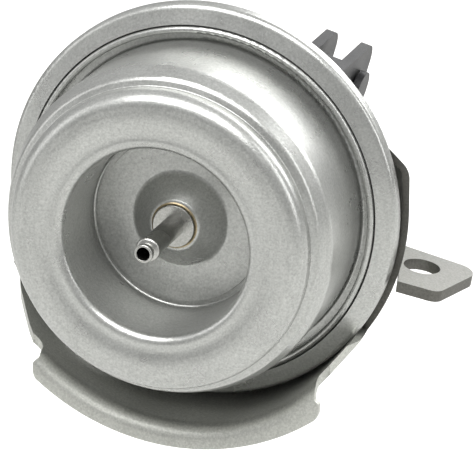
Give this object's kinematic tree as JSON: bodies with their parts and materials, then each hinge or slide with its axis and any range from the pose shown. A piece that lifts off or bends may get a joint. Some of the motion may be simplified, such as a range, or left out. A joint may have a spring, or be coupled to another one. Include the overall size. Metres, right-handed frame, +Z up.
{
  "type": "turbocharger wastegate actuator",
  "caption": "Vacuum canister actuator with a sunk hose nipple, crimped rim, tray bracket with a bolt lug, and a spring-loaded rod with a fork end.",
  "frame": {"origin": "on the capsule's axis, in the middle of the hose's seat on the nipple", "axes": "-Y along the capsule's axis out of the nipple, +Y along the rod, +Z up, the bracket's tray below"},
  "size_m": [0.0809, 0.1143, 0.0767],
  "materials": {
    "zinc_steel": "satin zinc plating",
    "bracket_steel": "satin zinc plating on pressed sheet",
    "nipple_steel": "turned and plated",
    "braze": "flowed braze metal",
    "rubber": "moulded fluorosilicone on cloth",
    "spring_steel": "oiled spring wire",
    "bush_bronze": "sintered bronze",
    "rod_steel": "ground rod",
    "fastener_steel": "bright zinc",
    "dark_steel": "black phosphate"
  },
  "bodies": {
    "capsule": {"front_can": "zinc_steel", "rear_can": "zinc_steel", "nipple": "nipple_steel", "braze_ring": "braze", "diaphragm": "rubber", "return_spring": "spring_steel", "guide_bush": "bush_bronze", "seal_housing": "zinc_steel", "rod_seal": "rubber", "bracket": "bracket_steel", "mounting_lug": "bracket_steel", "can_studs": "fastener_steel", "stud_washers": "fastener_steel", "stud_nuts": "fastener_steel"},
    "rod": {"rod": "rod_steel", "piston_cup": "zinc_steel", "backing_plate": "zinc_steel", "rod_washer": "fastener_steel", "lock_nut": "fastener_steel", "rod_fork": "dark_steel"},
    "pin": {"pivot_pin": "dark_steel", "pin_clip": "dark_steel"}
  },
  "joints": [
    {"name": "rod_slide", "type": "slide", "parent": "capsule", "child": "rod", "axis": [0, -1, 0], "range_m": [0, 0.011], "stiffness_N_per_m": 1500, "springref_m": -0.02, "deforming": ["return_spring", "diaphragm"]},
    {"name": "pin_turn", "type": "hinge", "parent": "rod", "child": "pin", "pos_m": [0, 0.09695, 0], "axis": [0.9613, 0, -0.2756], "continuous": true}
  ]
}
